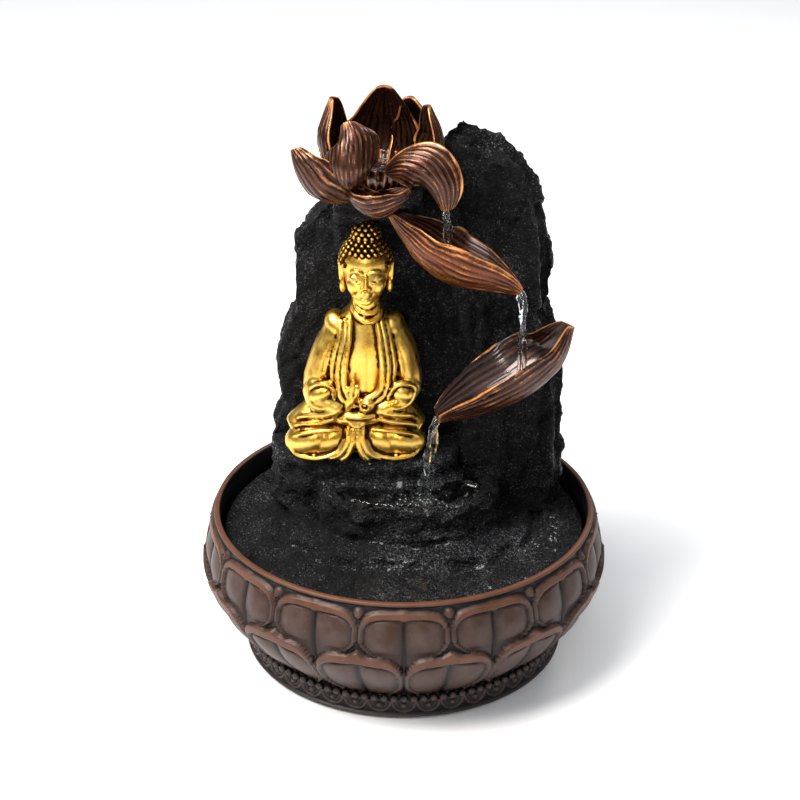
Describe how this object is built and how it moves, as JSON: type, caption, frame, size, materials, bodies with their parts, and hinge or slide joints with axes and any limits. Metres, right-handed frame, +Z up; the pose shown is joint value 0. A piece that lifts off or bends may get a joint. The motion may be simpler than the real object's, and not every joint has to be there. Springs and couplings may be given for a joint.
{
  "type": "tabletop water fountain",
  "caption": "Tabletop water fountain: a seated figure against a rock wall in a petal-carved bowl, with water stepping down from a lotus flower over leaf cups to a pool.",
  "frame": {"origin": "centre of the bowl at the underside of its foot pads", "axes": "+Z up, -Y towards the viewer of the figure, +X to the right seen from the front"},
  "size_m": [0.2, 0.2, 0.2923],
  "materials": {
    "bowl_resin": "antiqued bronze-brown paint over cast resin, satin",
    "pad_rubber": "matt black",
    "grommet_rubber": "matt black",
    "rock_resin": "near-black gritty cast resin, wet in places",
    "wall_resin": "near-black split-rock texture, semi-matt",
    "cover_resin": "near-black split-rock texture, semi-matt",
    "cup_resin": "dark bronze paint over cast resin",
    "hose_vinyl": "clear vinyl hose",
    "clip_resin": "unpainted black resin",
    "figure_gold": "bright gold paint with darker antiqued hollows",
    "pump_plastic": "fine-grained black moulding",
    "cup_rubber": "smooth black rubber",
    "volute_plastic": "smooth black moulding",
    "seal_rubber": "smooth black rubber",
    "bush_rubber": "smooth black rubber",
    "shaft_ceramic": "polished white ceramic",
    "magnet_ferrite": "dark grey ground ferrite",
    "impeller_plastic": "off-white moulding",
    "core_steel": "stacked steel laminations",
    "coil_copper": "enamelled copper wire",
    "potting_resin": "cast black resin",
    "gland_rubber": "matt black",
    "intake_plastic": "fine-grained black moulding",
    "knob_plastic": "smooth dark grey moulding",
    "sponge_foam": "open-cell dark grey foam",
    "leaf_bronze": "dark bronze paint with copper-orange edges, ribbed",
    "petal_bronze": "dark bronze paint with copper-orange edges, ribbed"
  },
  "bodies": {
    "bowl": {"basin_bowl": "bowl_resin", "foot_pads": "pad_rubber", "cable_grommet": "grommet_rubber", "pump_housing": "pump_plastic", "suction_cups": "cup_rubber", "volute_cover": "volute_plastic", "volute_seal": "seal_rubber", "shaft_bush_front": "bush_rubber", "shaft_bush_rear": "bush_rubber", "rotor_shaft": "shaft_ceramic", "stator_core": "core_steel", "coil_winding": "coil_copper", "epoxy_potting": "potting_resin", "lead_gland": "gland_rubber"},
    "rotor": {"rotor_magnet": "magnet_ferrite", "impeller": "impeller_plastic"},
    "intake": {"intake_cover": "intake_plastic", "filter_sponge": "sponge_foam"},
    "knob": {"flow_knob": "knob_plastic"},
    "rock_insert": {"rock_tray": "rock_resin", "rock_wall": "wall_resin", "lotus_cup": "cup_resin", "riser_tube": "hose_vinyl", "tube_clips": "clip_resin", "seated_figure": "figure_gold", "leaf_cup_middle": "leaf_bronze", "leaf_cup_lower": "leaf_bronze", "leaf_spout_upper": "leaf_bronze", "petal_front": "petal_bronze", "petal_left": "petal_bronze", "petal_back_left": "petal_bronze", "petal_back": "petal_bronze", "petal_back_right": "petal_bronze", "petal_right": "petal_bronze"},
    "rear_panel": {"rear_cover": "cover_resin"}
  },
  "joints": [
    {"name": "rock_lift", "type": "slide", "parent": "bowl", "child": "rock_insert", "axis": [0, 0, 1], "range_m": [0, 0.05]},
    {"name": "rear_panel_pull", "type": "slide", "parent": "rock_insert", "child": "rear_panel", "axis": [0, 1, 0], "range_m": [0, 0.02]},
    {"name": "intake_pull", "type": "slide", "parent": "bowl", "child": "intake", "axis": [-1, 0, 0], "range_m": [0, 0.014]},
    {"name": "flow_knob_turn", "type": "hinge", "parent": "intake", "child": "knob", "pos_m": [-0.036, 0.034, 0.029], "axis": [-1, 0, 0], "range_deg": [0, 90]},
    {"name": "rotor_spin", "type": "hinge", "parent": "bowl", "child": "rotor", "pos_m": [-0.01, 0.034, 0.029], "axis": [1, 0, 0], "continuous": true}
  ]
}
